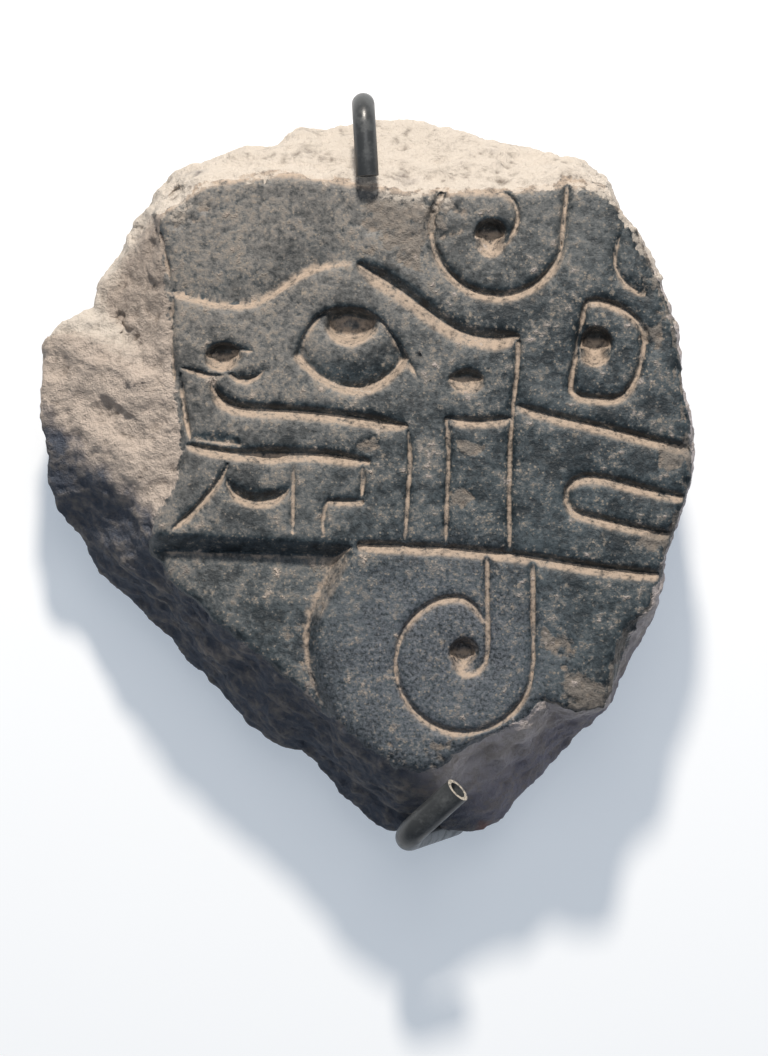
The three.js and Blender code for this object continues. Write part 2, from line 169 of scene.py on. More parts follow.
# Rounds of smoothing that round the forms and then the edges, and how far the broad creases deepen
BROAD_ROUNDS = 110
EDGE_ROUNDS = 14
BROAD_CREASE = 1.05

# Grid and rounds of smoothing of the copy that tells which way the stone faces at large
COARSE_GRID = 0.0025
COARSE_ROUNDS = 24

# Rounds of smoothing that bring out the narrow creases and the broad hollows
HOLLOW_ROUNDS = {"crease": 12, "hollow": 90}

# Each tube runs from its foot to a corner and on to its open tip
TUBES = {
    "upper_hook": {
        "path": ((-0.0029, 0.1319, 0.0), (-0.0029, 0.1319, 0.0746), (-0.0014, 0.106, 0.0746)),
        "radius": 0.004,
        "wall": 0.0013,
        "bend": 0.009,
    },
    "lower_hook": {
        "path": ((0.0295, -0.1246, 0.0), (0.011, -0.1268, 0.0575), (0.0303, -0.1086, 0.0675)),
        "radius": 0.00475,
        "wall": 0.0016,
        "bend": 0.010,
    },
}


class StoneSizes(PropertyGroup):
    """Sizes of the stone's worn and broken surface"""

    voxel: FloatProperty(
        name="Grid", description="Grid that the carved solid is rebuilt on", default=0.00055, unit="LENGTH")
    pillow: FloatProperty(
        name="Pillow", description="Share of the flat forms that is left beside the lines", default=0.35)
    shoulder: FloatProperty(
        name="Shoulder", description="Share of the sharp edges that is left", default=0.4)
    crease: FloatProperty(name="Crease", description="Depth of the creases beside the cut ones", default=1.4)
    face_wave: FloatProperty(
        name="Face waves", description="Height of the uneven dressing", default=0.0007, unit="LENGTH")
    face_grain: FloatProperty(
        name="Face grain", description="Height of the grain on the face", default=0.00045, unit="LENGTH")
    break_swell: FloatProperty(
        name="Break swell", description="Height of the lumps on the breaks", default=0.0050, unit="LENGTH")
    break_scoop: FloatProperty(
        name="Break scoops", description="Depth of the scoops in the breaks", default=0.0048, unit="LENGTH")
    break_grain: FloatProperty(
        name="Break grain", description="Height of the grain on the breaks", default=0.0022, unit="LENGTH")
    chip_depth: FloatProperty(
        name="Chips", description="Depth of the broken skin on the face", default=0.0020, unit="LENGTH")
    triangles: IntProperty(name="Triangles", description="Triangles kept on the stone", default=190000)


def colour(name, description, default):
    """A colour property with its name, description and default."""
    return FloatVectorProperty(
        name=name, description=description, subtype="COLOR", size=3, min=0, max=1, default=default)


class StoneColours(PropertyGroup):
    """Colours of the stone, its dust and its breaks"""

    slate: colour("Slate", "Darkest tone of the dressed face", (0.010, 0.017, 0.022))
    grey: colour("Grey", "Lighter tone of the dressed face", (0.060, 0.082, 0.096))
    # Tan film colour: thin dust, spread towards the upper left as painted light falloff
    film_and_light_falloff: colour("Film", "Thin dust over the dressed face", (0.205, 0.195, 0.182))
    fleck: colour("Fleck", "Tan grains in the face", (0.32, 0.275, 0.225))
    # Pale dust colour, also painted as highlight on walls that face the key light
    dust_and_painted_light: colour("Dust", "Pale dust in the carved lines", (0.46, 0.365, 0.285))
    chip: colour("Chip", "Broken skin of the face", (0.230, 0.205, 0.180))
    pale_break: colour("Pale break", "Break along the top", (0.62, 0.565, 0.50))
    tan_break: colour("Tan break", "Break at the left", (0.53, 0.455, 0.395))
    # Brown painted as shade in the hollows of the pale breaks and on the shaded left break
    brown_break_shade: colour("Brown break", "Hollows of the pale breaks", (0.15, 0.125, 0.105))
    dark_break: colour("Dark break", "Break at the lower left", (0.076, 0.090, 0.120))
    violet_break: colour("Violet break", "Break at the lower right", (0.250, 0.240, 0.290))
    # Pale grey on the upper band of the lower right break: painted light on a band that lies in shade
    grey_break_painted_light: colour("Grey break", "Break just below the lower scroll", (0.60, 0.55, 0.55))
    # Painted sheen: blue grey reflection painted over the lower scroll
    painted_sheen: colour("Bloom", "Blue grey bloom over the lower scroll", (0.130, 0.146, 0.172))
    rust: colour("Rust", "Stain by the bottom edge", (0.30, 0.09, 0.035))


class TubeFinish(PropertyGroup):
    """Sizes and colours of the bent tubes"""

    sides: IntProperty(name="Sides", description="Sides of each tube", default=40)
    bend_steps: IntProperty(name="Bend steps", description="Steps round each bend", default=16)
    rim: FloatProperty(
        name="Rim", description="Rounding of the cut ends", default=0.00025, unit="LENGTH")
    sleeve: colour("Sleeve", "Dark outside of the tube", (0.040, 0.044, 0.047))
    worn: colour("Worn", "Rubbed places on the tube", (0.075, 0.082, 0.086))
    cut: colour("Cut", "Pale cut end of the tube", (0.55, 0.50, 0.42))


class StageLight(PropertyGroup):
    """Floor, light and camera"""

    floor: colour("Floor", "Pale floor", (0.62, 0.62, 0.61))
    glow: colour("Glow", "Even light of the floor itself", (0.34, 0.38, 0.43))
    key_energy: FloatProperty(name="Key", description="Power of the key light", default=36.0, unit="POWER")
    panel_energy: FloatProperty(
        name="Panel", description="Power of the soft panel", default=3.0, unit="POWER")
    panel_size: FloatProperty(
        name="Panel size", description="Width of the soft panel", default=0.7, unit="LENGTH")
    panel_colour: colour("Panel colour", "Light of the soft panel", (0.97, 0.98, 1.0))
    key_height: FloatProperty(
        name="Key height", description="Height of the key light over the floor", default=1.15, unit="LENGTH")
    key_distance: FloatProperty(
        name="Key distance", description="From the middle to the key light", default=1.25, unit="LENGTH")
    key_size: FloatProperty(
        name="Key size", description="Width of the key light", default=0.18, unit="LENGTH")
    key_colour: colour("Key colour", "Warm light", (1.0, 0.915, 0.82))
    fill_colour: colour("Fill colour", "Cool light from all round", (0.72, 0.83, 1.0))
    fill_strength: FloatProperty(
        name="Fill", description="Strength of the light from all round", default=0.17)
    camera_distance: FloatProperty(
        name="Camera distance", description="From the carved face to the camera", default=1.6, unit="LENGTH")
    sensor: FloatProperty(
        name="Sensor", description="Long side of the camera's sensor in millimetres", default=36.0)


def only(obj):
    """Select this object alone and make it active."""
    bpy.ops.object.select_all(action="DESELECT")
    obj.select_set(True)
    bpy.context.view_layer.objects.active = obj


def finish_modifier(obj, modifier):
    """Apply one modifier to its object."""
    only(obj)
    bpy.ops.object.modifier_apply(modifier=modifier.name)


def remove(*objects):
    """Delete helper objects with their meshes."""
    for obj in objects:
        data = obj.data
        bpy.data.objects.remove(obj)
        if isinstance(data, bpy.types.Mesh):
            bpy.data.meshes.remove(data)


def solid_copy(node, name):
    """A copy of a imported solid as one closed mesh."""
    obj = bpy.data.objects.new(name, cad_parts[node].data.copy())
    bpy.context.collection.objects.link(obj)
    obj.data.materials.clear()
    only(obj)
    bpy.ops.object.mode_set(mode="EDIT")
    bpy.ops.mesh.select_all(action="SELECT")
    bpy.ops.mesh.remove_doubles(threshold=WELD)
    bpy.ops.mesh.select_mode(type="FACE")
    bpy.ops.mesh.select_all(action="DESELECT")
    bpy.ops.object.mode_set(mode="OBJECT")
    return obj


def vertex_values(mesh, attribute):
    """Places or normals of all vertices as an array."""
    values = np.empty(len(mesh.vertices) * 3, np.float32)
    if attribute == "normal":
        mesh.vertex_normals.foreach_get("vector", values)
    else:
        mesh.vertices.foreach_get("co", values)
    return values.reshape(-1, 3)


def store(mesh, name, values):
    """Keep one number for each vertex as an attribute of the mesh."""
    kept = mesh.attributes.get(name) or mesh.attributes.new(name, "FLOAT", "POINT")
    kept.data.foreach_set("value", np.ascontiguousarray(values, np.float32))


def stored(mesh, name):
    """Read an attribute back as an array."""
    values = np.empty(len(mesh.vertices), np.float32)
    mesh.attributes[name].data.foreach_get("value", values)
    return values


def smooth_step(values, low, high):
    """Ease from 0 at low to 1 at high."""
    share = np.clip((values - low) / (high - low), 0, 1)
    return share * share * (3 - 2 * share)


def group_from(obj, name, weights):
    """A vertex group holding these weights."""
    group = obj.vertex_groups.get(name) or obj.vertex_groups.new(name=name)
    for index, weight in enumerate(weights):
        group.add((index,), float(weight), "REPLACE")
    return group


def weights_of(obj, name):
    """Weights of a vertex group as an array."""
    index = obj.vertex_groups[name].index
    weights = np.zeros(len(obj.data.vertices), np.float32)
    for vertex in obj.data.vertices:
        for element in vertex.groups:
            if element.group == index:
                weights[vertex.index] = element.weight
    return weights


def inside(outline, x, y):
    """Whether a place lies inside a closed outline."""
    within = False
    for (ax, ay), (bx, by) in zip(outline, outline[1:] + outline[:1]):
        if (ay > y) != (by > y) and x < ax + (bx - ax) * (y - ay) / (by - ay):
            within = not within
    return within


def worked_surface(stone):
    """A helper with the carved side of the solid: the face, its grounds and its lines."""
    lowest_ground = FACE_TOP - CARVING_DEPTH
    for face in stone.data.polygons:
        place = face.center - CARVING_MIDDLE
        high = face.normal.z > 0.1 and face.center.z > lowest_ground
        face.select = high and inside(FACE_OUTLINE, place.x, place.y)
    if not any(face.select for face in stone.data.polygons):
        raise RuntimeError("No carved face was found on the stone")
    only(stone)
    bpy.ops.object.mode_set(mode="EDIT")
    bpy.ops.mesh.duplicate()
    bpy.ops.mesh.separate(type="SELECTED")
    bpy.ops.mesh.select_mode(type="VERT")
    bpy.ops.object.mode_set(mode="OBJECT")
    return next(obj for obj in bpy.context.selected_objects if obj != stone)


def remesh(obj, voxel):
    """Rebuild a solid on an even grid."""
    grid = obj.modifiers.new("grid", "REMESH")
    grid.mode = "VOXEL"
    grid.voxel_size = voxel
    finish_modifier(obj, grid)


def smooth(obj, rounds):
    """Smooth a mesh evenly."""
    soften = obj.modifiers.new("soften", "SMOOTH")
    soften.factor = 0.5
    soften.iterations = rounds
    finish_modifier(obj, soften)


def smoothed_copy(obj, rounds):
    """A smoothed copy of an object."""
    copy = bpy.data.objects.new("smoothed", obj.data.copy())
    bpy.context.collection.objects.link(copy)
    smooth(copy, rounds)
    return copy


def soften_carving(stone, rounds, shoulder, crease):
    """Round the shoulders of the carving and deepen its creases."""
    broad = smoothed_copy(stone, rounds)
    base = vertex_values(broad.data, "co")
    detail = vertex_values(stone.data, "co") - base
    raised = np.einsum("ij,ij->i", detail, vertex_values(broad.data, "normal"))
    share = np.where(raised > 0, shoulder, crease)
    moved = base + detail * share[:, None]
    stone.data.vertices.foreach_set("co", np.ascontiguousarray(moved, np.float32).ravel())
    stone.data.update()
    remove(broad)


def deepen(stone):
    """Sink the deepest pits of the carving and the holes in the breaks."""
    places = vertex_values(stone.data, "co")
    upper = places[:, 2] > FACE_TOP / 2
    for (x, y), (width, height), depth, floor in DEEP_PLACES:
        across = (places[:, 0] - CARVING_MIDDLE.x - x) / width
        along = (places[:, 1] - CARVING_MIDDLE.y - y) / height
        level = np.where(along > 0, UPPER_FLOOR, floor)
        places[:, 2] -= depth * upper * (1 - smooth_step(np.hypot(across, along), level, 1.0))
    stone.data.vertices.foreach_set("co", places.ravel())
    stone.data.update()


def mark_facing(stone, node):
    """Keep which way the stone faces at large, read from a coarse and smooth copy of its solid."""
    coarse = solid_copy(node, "coarse")
    remesh(coarse, COARSE_GRID)
    smooth(coarse, COARSE_ROUNDS)
    tree = BVHTree.FromPolygons(
        [vertex.co for vertex in coarse.data.vertices], [face.vertices for face in coarse.data.polygons])
    remove(coarse)
    facing = np.array([tree.find_nearest(vertex.co)[1] for vertex in stone.data.vertices], np.float32)
    store(stone.data, "topward", facing[:, 1])
    store(stone.data, "level", facing[:, 2])


def mark_breaks(stone, worked):
    """Weight the vertices by their distance from the worked surface, except on the flat back."""
    stone.vertex_groups.new(name="breaks").add(range(len(stone.data.vertices)), 1.0, "REPLACE")
    nearness = stone.modifiers.new("nearness", "VERTEX_WEIGHT_PROXIMITY")
    nearness.vertex_group = "breaks"
    nearness.target = worked
    nearness.proximity_mode = "GEOMETRY"
    nearness.proximity_geometry = {"FACE"}
    nearness.min_dist, nearness.max_dist = BREAK_DISTANCE
    finish_modifier(stone, nearness)
    places = vertex_values(stone.data, "co")
    broken = weights_of(stone, "breaks") * smooth_step(places[:, 2], *BREAK_HEIGHT)
    group_from(stone, "breaks", broken)
    store(stone.data, "broken", broken)


def mark_sides(stone):
    """Split the breaks into the top, the left, the lower left and the lower right."""
    mesh = stone.data
    places = vertex_values(mesh, "co") - np.array(CARVING_MIDDLE, np.float32)
    broken = stored(mesh, "broken")
    topward = stored(mesh, "topward")
    top = smooth_step(topward, *TOP_FACING)
    start, turn = Vector(DARK_START), math.radians(DARK_TURN)
    above = (places[:, 0] - start.x) * math.sin(turn) + (places[:, 1] - start.y) * math.cos(turn)
    diagonal = smooth_step(places[:, 0] + places[:, 1], *RIGHT_DIAGONAL)
    right = diagonal * smooth_step(places[:, 0], *RIGHT_START)
    pale = np.maximum(top, (1 - right) * smooth_step(above, -DARK_BLUR, DARK_BLUR))
    store(mesh, "pale", pale)
    store(mesh, "top", top)
    store(mesh, "right", right)
    # Upper band of the right break, which the material paints with light
    store(mesh, "upper", right * smooth_step(places[:, 2], *PAINTED_LIGHT_BAND))
    store(mesh, "shaded", (1 - top) * smooth_step(places[:, 1], *SHADED_START))
    group_from(stone, "top_break", broken * top)
    group_from(stone, "left_break", broken * (1 - top) * pale)
    group_from(stone, "dark_break", broken * (1 - pale) * (1 - right))
    group_from(stone, "right_break", broken * (1 - top) * right)


def ragged(places, size):
    """Noise between about -1 and 1 at each place, with the given size of its lumps."""
    return np.array([noise.fractal(Vector(place) / size, 0.8, 2.0, 4) for place in places], np.float32)


def mark_chips(stone):
    """Weight the places on the face, and along its edge, where the skin is broken."""
    mesh = stone.data
    places = vertex_values(mesh, "co") - np.array(CARVING_MIDDLE, np.float32)
    level = stored(mesh, "level")
    at_right = smooth_step(places[:, 0], *CHIPPED_RIGHT)
    at_top = smooth_step(places[:, 1], *CHIPPED_TOP)
    worn = 0.75 * np.maximum(at_right, at_top) * (1 - smooth_step(level, *LEVEL_FACING))
    for (x, y), (width, height), strength in WORN_PLACES:
        away = np.hypot((places[:, 0] - x) / width, (places[:, 1] - y) / height)
        worn = np.maximum(worn, strength * (1 - smooth_step(away, 0.0, 1.7)))
    worn *= smooth_step(places[:, 2], *SKIN_HEIGHT)
    near = np.nonzero(worn > 0.02)[0]
    worn[near] = smooth_step(worn[near] + 0.5 * ragged(places[near], CHIP_LUMP), 0.35, 0.75)
    worn *= 1 - stored(mesh, "broken")
    group_from(stone, "chips", worn)
    store(mesh, "chipped", worn)
    high = smooth_step(places[:, 1], *RIM_START)
    store(mesh, "rim", high * smooth_step(stored(mesh, "topward"), *RIM_FACING))


def roughen(stone, name, settings, strength, group, stretch=(1, 1, 1), turn=0.0, level=0.5):
    """Push the surface out and in by one cloudy texture, within one vertex group."""
    texture = bpy.data.textures.new(name, "CLOUDS")
    for key, value in settings.items():
        setattr(texture, key, value)
    bpy.ops.object.empty_add(rotation=(0, 0, math.radians(turn)))
    helper = bpy.context.active_object
    helper.scale = stretch
    bpy.context.view_layer.update()
    push = stone.modifiers.new(name, "DISPLACE")
    push.texture = texture
    push.strength = strength
    push.mid_level = level
    push.vertex_group = group.lstrip("-")
    push.invert_vertex_group = group.startswith("-")
    push.texture_coords = "OBJECT"
    push.texture_coords_object = helper
    finish_modifier(stone, push)
    remove(helper)
    bpy.data.textures.remove(texture)


def weather(stone, sizes):
    """Give the face its dressing and grain, and the breaks their scoops, ledges and grain."""
    cloud = {"noise_basis": "IMPROVED_PERLIN", "noise_depth": 2}
    gritty = {"noise_basis": "IMPROVED_PERLIN", "noise_depth": 4}
    scoop = {"noise_basis": "VORONOI_F1", "noise_depth": 1}
    flaked = {"noise_basis": "VORONOI_F1", "noise_depth": 3}
    depth = sizes.break_scoop
    roughen(stone, "swell", {**cloud, "noise_scale": 0.022}, sizes.break_swell, "breaks")
    roughen(stone, "top", {**scoop, "noise_scale": 0.013}, depth, "top_break", (2.8, 1, 1), 4)
    roughen(stone, "left", {**scoop, "noise_scale": 0.021}, 1.3 * depth, "left_break", (1.3, 1, 1), 60)
    roughen(stone, "dark", {**scoop, "noise_scale": 0.020}, 0.8 * depth, "dark_break", (2.6, 1, 1), -42)
    roughen(stone, "right", {**scoop, "noise_scale": 0.014}, 0.6 * depth, "right_break", (2.4, 1, 1), 50)
    roughen(stone, "crumb", {**scoop, "noise_scale": 0.007}, 0.5 * depth, "breaks", (1.6, 1, 1), 20)
    roughen(stone, "break_grain", {**gritty, "noise_scale": 0.0042}, sizes.break_grain, "breaks")
    roughen(stone, "waves", {**cloud, "noise_scale": 0.018}, sizes.face_wave, "-breaks")
    roughen(stone, "grain", {**cloud, "noise_scale": 0.0024}, sizes.face_grain, "-breaks")
    roughen(stone, "chips", {**flaked, "noise_scale": 0.0036}, sizes.chip_depth, "chips", level=0.8)


def settle(stone):
    """Keep the back from reaching below its plane."""
    places = vertex_values(stone.data, "co")
    places[:, 2] = np.maximum(places[:, 2], 0)
    stone.data.vertices.foreach_set("co", places.ravel())
    stone.data.update()


def mark_hollows(stone):
    """Compare the surface with smoothed copies of itself, to tell its creases and broad hollows."""
    for name, rounds in HOLLOW_ROUNDS.items():
        broad = smoothed_copy(stone, rounds)
        moved = vertex_values(broad.data, "co") - vertex_values(stone.data, "co")
        depth = np.einsum("ij,ij->i", moved, vertex_values(broad.data, "normal"))
        store(stone.data, name, depth * 1000)
        remove(broad)


def thin(stone, triangles):
    """Bring the mesh down to the wanted number of triangles."""
    have = sum(len(face.vertices) - 2 for face in stone.data.polygons)
    fewer = stone.modifiers.new("fewer", "DECIMATE")
    fewer.ratio = min(1.0, triangles / have)
    finish_modifier(stone, fewer)


def new_material(name):
    """An empty node material and its main shader."""
    material = bpy.data.materials.new(name)
    material.use_nodes = True
    tree = material.node_tree
    shader = tree.nodes["Principled BSDF"]
    return material, tree, shader


def add(tree, kind, inputs, **settings):
    """A node with its settings, its inputs set or linked, and its first output."""
    node = tree.nodes.new("ShaderNode" + kind)
    for key, value in settings.items():
        setattr(node, key, value)
    for key, value in inputs.items():
        if isinstance(value, bpy.types.NodeSocket):
            tree.links.new(value, node.inputs[key])
        else:
            node.inputs[key].default_value = value
    return node.outputs[0]


def attribute(tree, name):
    """A number kept on the mesh."""
    node = tree.nodes.new("ShaderNodeAttribute")
    node.attribute_name = name
    return node.outputs["Fac"]


def cloudy(tree, place, scale, detail, roughness=0.55):
    """Cloudy noise with the given number of grains to the metre."""
    return add(tree, "TexNoise", {"Vector": place, "Scale": scale, "Detail": detail, "Roughness": roughness})


def specks(tree, place, scale, share):
    """Scattered uneven grains, so many to the metre, of which a share shows."""
    wobble = cloudy(tree, place, scale * 2, 2.0).node.outputs["Color"]
    shift = (SPECK_WARP / scale,) * 3
    uneven = add(tree, "VectorMath", {0: wobble, 1: shift, 2: place}, operation="MULTIPLY_ADD")
    distance = add(tree, "TexVoronoi", {"Vector": uneven, "Scale": scale})
    shown = ease(tree, distance.node.outputs["Color"], 1 - share, 1.1 - share)
    return product(tree, ease(tree, distance, *SPECK_EDGE), shown)


def ease(tree, value, low, high):
    """A smooth rise from 0 at low to 1 at high."""
    inputs = {"Value": value, "From Min": low, "From Max": high}
    return add(tree, "MapRange", inputs, interpolation_type="SMOOTHSTEP")


def sum_of(tree, first, second, share=1.0):
    """The first number plus a share of the second."""
    return add(tree, "Math", {0: second, 1: share, 2: first}, operation="MULTIPLY_ADD")


def product(tree, first, second):
    """Two numbers multiplied."""
    return add(tree, "Math", {0: first, 1: second}, operation="MULTIPLY")


def greater(tree, first, second):
    """The greater of two numbers."""
    return add(tree, "Math", {0: first, 1: second}, operation="MAXIMUM")


def blend(tree, share, first, second):
    """The first colour or number, turned into the second by the share."""
    node = tree.nodes.new("ShaderNodeMix")
    node.data_type = "RGBA"
    for key, value in ((0, share), (6, first), (7, second)):
        if isinstance(value, bpy.types.NodeSocket):
            tree.links.new(value, node.inputs[key])
        elif key == 0:
            node.inputs[key].default_value = value
        else:
            node.inputs[key].default_value = (*value, 1.0)
    return node.outputs[2]


def stone_material(colours):
    """Speckled dark stone with dust in its lines, painted highlight on walls facing the top and painted shade
    on walls facing down, a painted blue grey sheen over the lower scroll, chips, and breaks that are pale
    above and dark below, with painted shade in their hollows.
    """
    material, tree, shader = new_material("speckled_stone")
    place = add(tree, "TexCoord", {}).node.outputs["Object"]
    fine = cloudy(tree, place, 800.0, 4.0, 0.7)
    grain = cloudy(tree, place, 360.0, 3.0)
    blotch = cloudy(tree, place, 120.0, 4.0)
    cloud = cloudy(tree, place, 28.0, 3.0)
    broken = attribute(tree, "broken")
    chipped = attribute(tree, "chipped")
    crease = attribute(tree, "crease")
    hollow = attribute(tree, "hollow")
    facing_top_and_key_light = attribute(tree, "facing_top_and_key_light")

    # Dressed face: slate and grey under a tan film that is partly dust and partly painted light falloff, with
    # small tan flecks
    side = add(tree, "VectorMath", {0: place, 1: FILM_AND_FALLOFF_SLOPE}, operation="DOT_PRODUCT").node.outputs["Value"]
    film_and_light_falloff = ease(tree, sum_of(tree, sum_of(tree, side, cloud, 0.9), blotch, 0.8), 0.6, 1.5)
    # The film is kept off walls that face down, which stay darker as painted shade
    film_and_light_falloff = product(tree, film_and_light_falloff, ease(tree, facing_top_and_key_light, -0.40, 0.0))
    mottled = sum_of(tree, fine, grain)
    tone = sum_of(tree, sum_of(tree, mottled, blotch, 1.4), cloud, 1.0)
    face = blend(tree, ease(tree, tone, 1.85, 2.5), colours.slate, colours.grey)
    face = blend(tree, product(tree, film_and_light_falloff, ease(tree, mottled, 0.55, 1.25)), face, colours.film_and_light_falloff)
    # Painted blue grey sheen over the lower scroll, in place of a reflection
    face = blend(tree, painted_sheen_share(tree, place, fine), face, colours.painted_sheen)
    patches = sum_of(tree, sum_of(tree, mottled, blotch, 1.2), film_and_light_falloff, 0.12)
    flecks = product(tree, ease(tree, patches, 1.65, 2.0), 0.5)
    grains = greater(tree, specks(tree, place, 400.0, 0.22), specks(tree, place, 900.0, 0.40))
    flecks = greater(tree, flecks, product(tree, grains, ease(tree, patches, 1.38, 1.78)))
    face = blend(tree, product(tree, flecks, 0.8), face, colours.fleck)

    # Dust lies in the creases, but is kept off walls that face down, as painted shade; pale dust with painted
    # highlight lies on every wall that faces the top, towards the key light
    lodged_dust_and_shade = ease(tree, sum_of(tree, hollow, sum_of(tree, -0.5, grain), 0.5), 0.04, 0.5)
    lodged_dust_and_shade = product(tree, lodged_dust_and_shade, ease(tree, facing_top_and_key_light, -0.45, 0.15))
    caught_dust_and_highlight = ease(tree, sum_of(tree, facing_top_and_key_light, sum_of(tree, -0.5, grain), 0.2), 0.12, 0.70)
    dust_and_light_share = product(tree, greater(tree, lodged_dust_and_shade, caught_dust_and_highlight), ease(tree, mottled, 0.6, 1.15))
    face = blend(tree, product(tree, dust_and_light_share, 0.85), face, colours.dust_and_painted_light)
    rough = sum_of(tree, sum_of(tree, -1.0, grain), blotch)
    scuffed = sum_of(tree, sum_of(tree, chipped, rough, 2.2), sum_of(tree, -0.5, fine), 1.2)
    chip = product(tree, ease(tree, scuffed, 0.35, 1.0), 0.7)
    face = blend(tree, chip, face, blend(tree, attribute(tree, "rim"), colours.chip, colours.pale_break))

    # Breaks: bright at the top, tan at the left, dark below and violet at the lower right, with painted shade
    # in their hollows
    # Uneven crag tone, lowered in hollows and creases, where the pale breaks turn brown as painted shade
    crag_tone_and_hollow_shade = sum_of(tree, sum_of(tree, sum_of(tree, blotch, grain, 0.7), hollow, -0.15), crease, -0.35)
    tan = blend(tree, attribute(tree, "top"), colours.tan_break, colours.pale_break)
    tan = blend(tree, product(tree, attribute(tree, "shaded"), 0.4), tan, colours.brown_break_shade)
    tan = blend(tree, ease(tree, crag_tone_and_hollow_shade, 0.85, 0.35), tan, colours.brown_break_shade)
    under = blend(tree, attribute(tree, "right"), colours.dark_break, colours.violet_break)
    streaked = ease(tree, sum_of(tree, mottled, blotch, 1.3), 1.5, 1.9)
    # Pale grey band at the top of the lower right break: painted light
    under = blend(tree, product(tree, attribute(tree, "upper"), 0.9), under, colours.grey_break_painted_light)
    streaked = product(tree, streaked, sum_of(tree, 0.18, attribute(tree, "right"), 0.3))
    # Fleck colour on the ridges of the lower breaks: partly wear, partly painted highlight in place of fill
    # light
    ridge_wear_and_highlight = product(tree, ease(tree, crag_tone_and_hollow_shade, 0.72, 1.20), 0.5)
    under = blend(tree, greater(tree, streaked, ridge_wear_and_highlight), under, colours.fleck)
    uneven = sum_of(tree, sum_of(tree, -1.0, blotch), cloud)
    pale = ease(tree, sum_of(tree, attribute(tree, "pale"), uneven, 1.1), 0.15, 0.85)
    breaks = blend(tree, pale, under, tan)
    edge = ease(tree, sum_of(tree, broken, rough, 1.3), 0.25, 0.5)
    whole = blend(tree, edge, face, breaks)

    # Rust by the bottom edge
    reach = distance_from(tree, place, RUST_PLACE)
    rusty = ease(tree, sum_of(tree, reach, sum_of(tree, -0.5, blotch), 0.008), 0.0045, 0.001)
    whole = blend(tree, product(tree, rusty, 0.45), whole, colours.rust)
    tree.links.new(whole, shader.inputs["Base Color"])

    # Dust with its painted highlight, and the breaks, are dull, and the bare slate keeps a faint sheen
    dull = greater(tree, greater(tree, dust_and_light_share, edge), greater(tree, flecks, chip))
    tree.links.new(sum_of(tree, 0.50, dull, 0.42), shader.inputs["Roughness"])
    shader.inputs["Specular IOR Level"].default_value = 0.45
    crumbs = add(tree, "TexVoronoi", {"Vector": place, "Scale": 240.0})
    crumbly = sum_of(tree, sum_of(tree, sum_of(tree, -1.1, rough, 0.7), fine, 1.5), crumbs, 0.9)
    relief = sum_of(tree, sum_of(tree, product(tree, grain, 0.7), fine, 0.35), blotch, 0.6)
    relief = sum_of(tree, relief, product(tree, greater(tree, edge, chip), crumbly), 1.7)
    bump = add(tree, "Bump", {"Height": relief, "Strength": 0.8, "Distance": 0.0007})
    tree.links.new(bump, shader.inputs["Normal"])
    return material


def distance_from(tree, place, spot):
    """How far each place lies from a spot measured on the carving."""
    middle = CARVING_MIDDLE + Vector(spot)
    return add(tree, "VectorMath", {0: place, 1: middle}, operation="DISTANCE").node.outputs["Value"]


def painted_sheen_share(tree, place, uneven):
    """How much of the painted sheen shows: most round the lower scroll, and unevenly."""
    away = distance_from(tree, place, (*SHEEN_PLACE, FACE_TOP))
    near = ease(tree, away, SHEEN_REACH, SHEEN_REACH * 0.3)
    return product(tree, near, ease(tree, uneven, 0.32, 0.70))


def sleeve_material(finish):
    """Dark satin sleeve with rubbed places and fine lengthwise scuffs."""
    material, tree, shader = new_material("dark_sleeve")
    place = add(tree, "TexCoord", {}).node.outputs["Object"]
    rubbed = cloudy(tree, place, 220.0, 4.0)
    scuff = cloudy(tree, place, 1500.0, 2.0)
    worn = ease(tree, sum_of(tree, rubbed, scuff, 0.35), 0.62, 0.9)
    tree.links.new(blend(tree, worn, finish.sleeve, finish.worn), shader.inputs["Base Color"])
    tree.links.new(sum_of(tree, 0.30, worn, 0.30), shader.inputs["Roughness"])
    bump = add(tree, "Bump", {"Height": scuff, "Strength": 0.25, "Distance": 0.0002})
    tree.links.new(bump, shader.inputs["Normal"])
    return material


def cut_material(finish):
    """Pale cut end, a little uneven."""
    material, tree, shader = new_material("pale_cut")
    place = add(tree, "TexCoord", {}).node.outputs["Object"]
    uneven = cloudy(tree, place, 1200.0, 3.0)
    tone = blend(tree, ease(tree, uneven, 0.35, 0.75), finish.cut, finish.worn)
    tree.links.new(tone, shader.inputs["Base Color"])
    shader.inputs["Roughness"].default_value = 0.7
    return material


